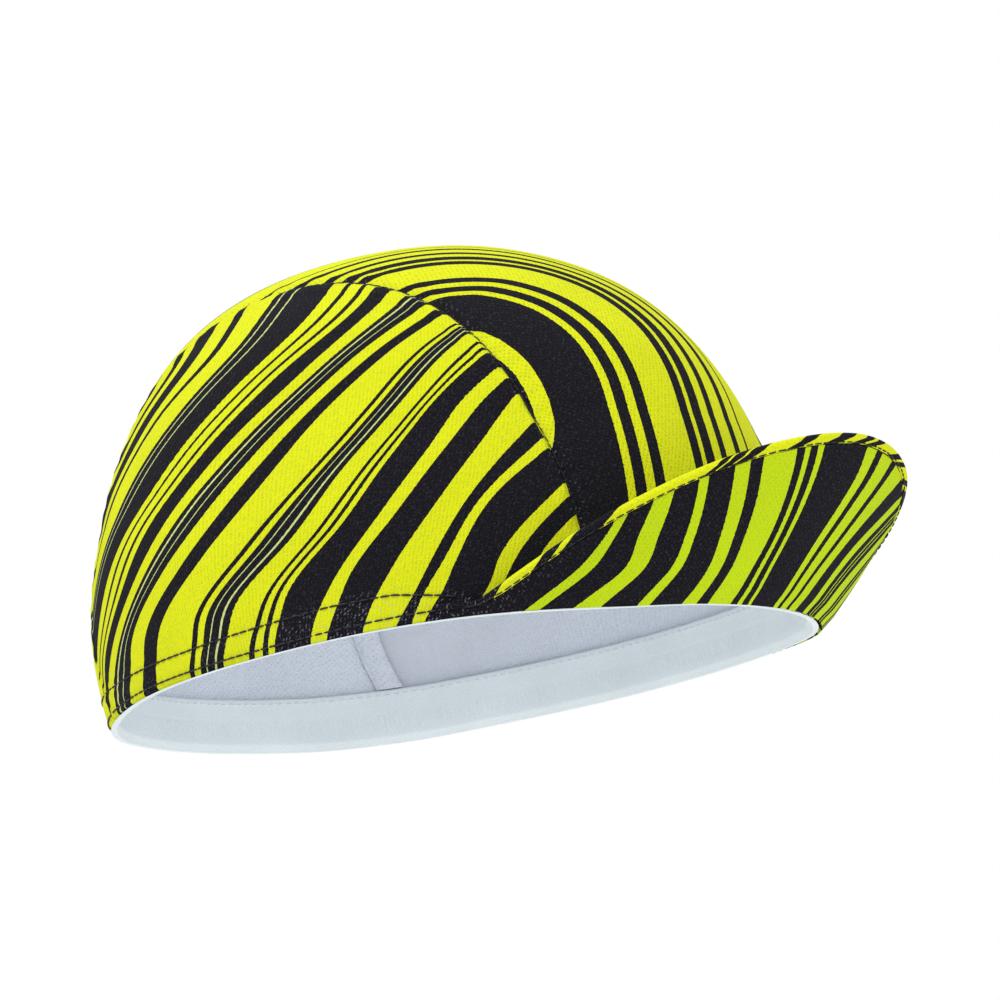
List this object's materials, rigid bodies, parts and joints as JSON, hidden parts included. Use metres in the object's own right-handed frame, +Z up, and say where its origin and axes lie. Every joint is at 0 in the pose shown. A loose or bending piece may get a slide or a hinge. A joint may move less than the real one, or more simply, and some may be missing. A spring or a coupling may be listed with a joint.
{
  "type": "cycling cap",
  "caption": "Soft knit cycling cap with a panelled crown, an elastic sweatband and a short peak flipped up, printed with flowing stripes.",
  "frame": {"origin": "middle of the head opening, on the plane of the rim, where the head enters", "axes": "+X forwards through the peak, +Y to the wearer's left, +Z up through the crown"},
  "size_m": [0.2399, 0.1636, 0.119],
  "materials": {
    "centre_cloth": "matt knit printed with yellow and black stripes",
    "side_cloth": "matt knit printed with yellow and black stripes",
    "peak_upper_cloth": "matt knit printed with yellow and black stripes",
    "peak_under_cloth": "matt knit printed with yellow and black stripes",
    "inside_cloth": "matt pale wrong side of the knit",
    "band_elastic": "soft pale ribbed elastic"
  },
  "bodies": {
    "root": {"crown_centre_panel": "centre_cloth", "crown_side_panel_right": "side_cloth", "crown_side_panel_left": "side_cloth", "seam_allowance_right": "inside_cloth", "seam_allowance_left": "inside_cloth", "sweatband": "band_elastic", "peak_upper_cover": "peak_upper_cloth", "peak_under_cover": "peak_under_cloth"}
  },
  "joints": []
}
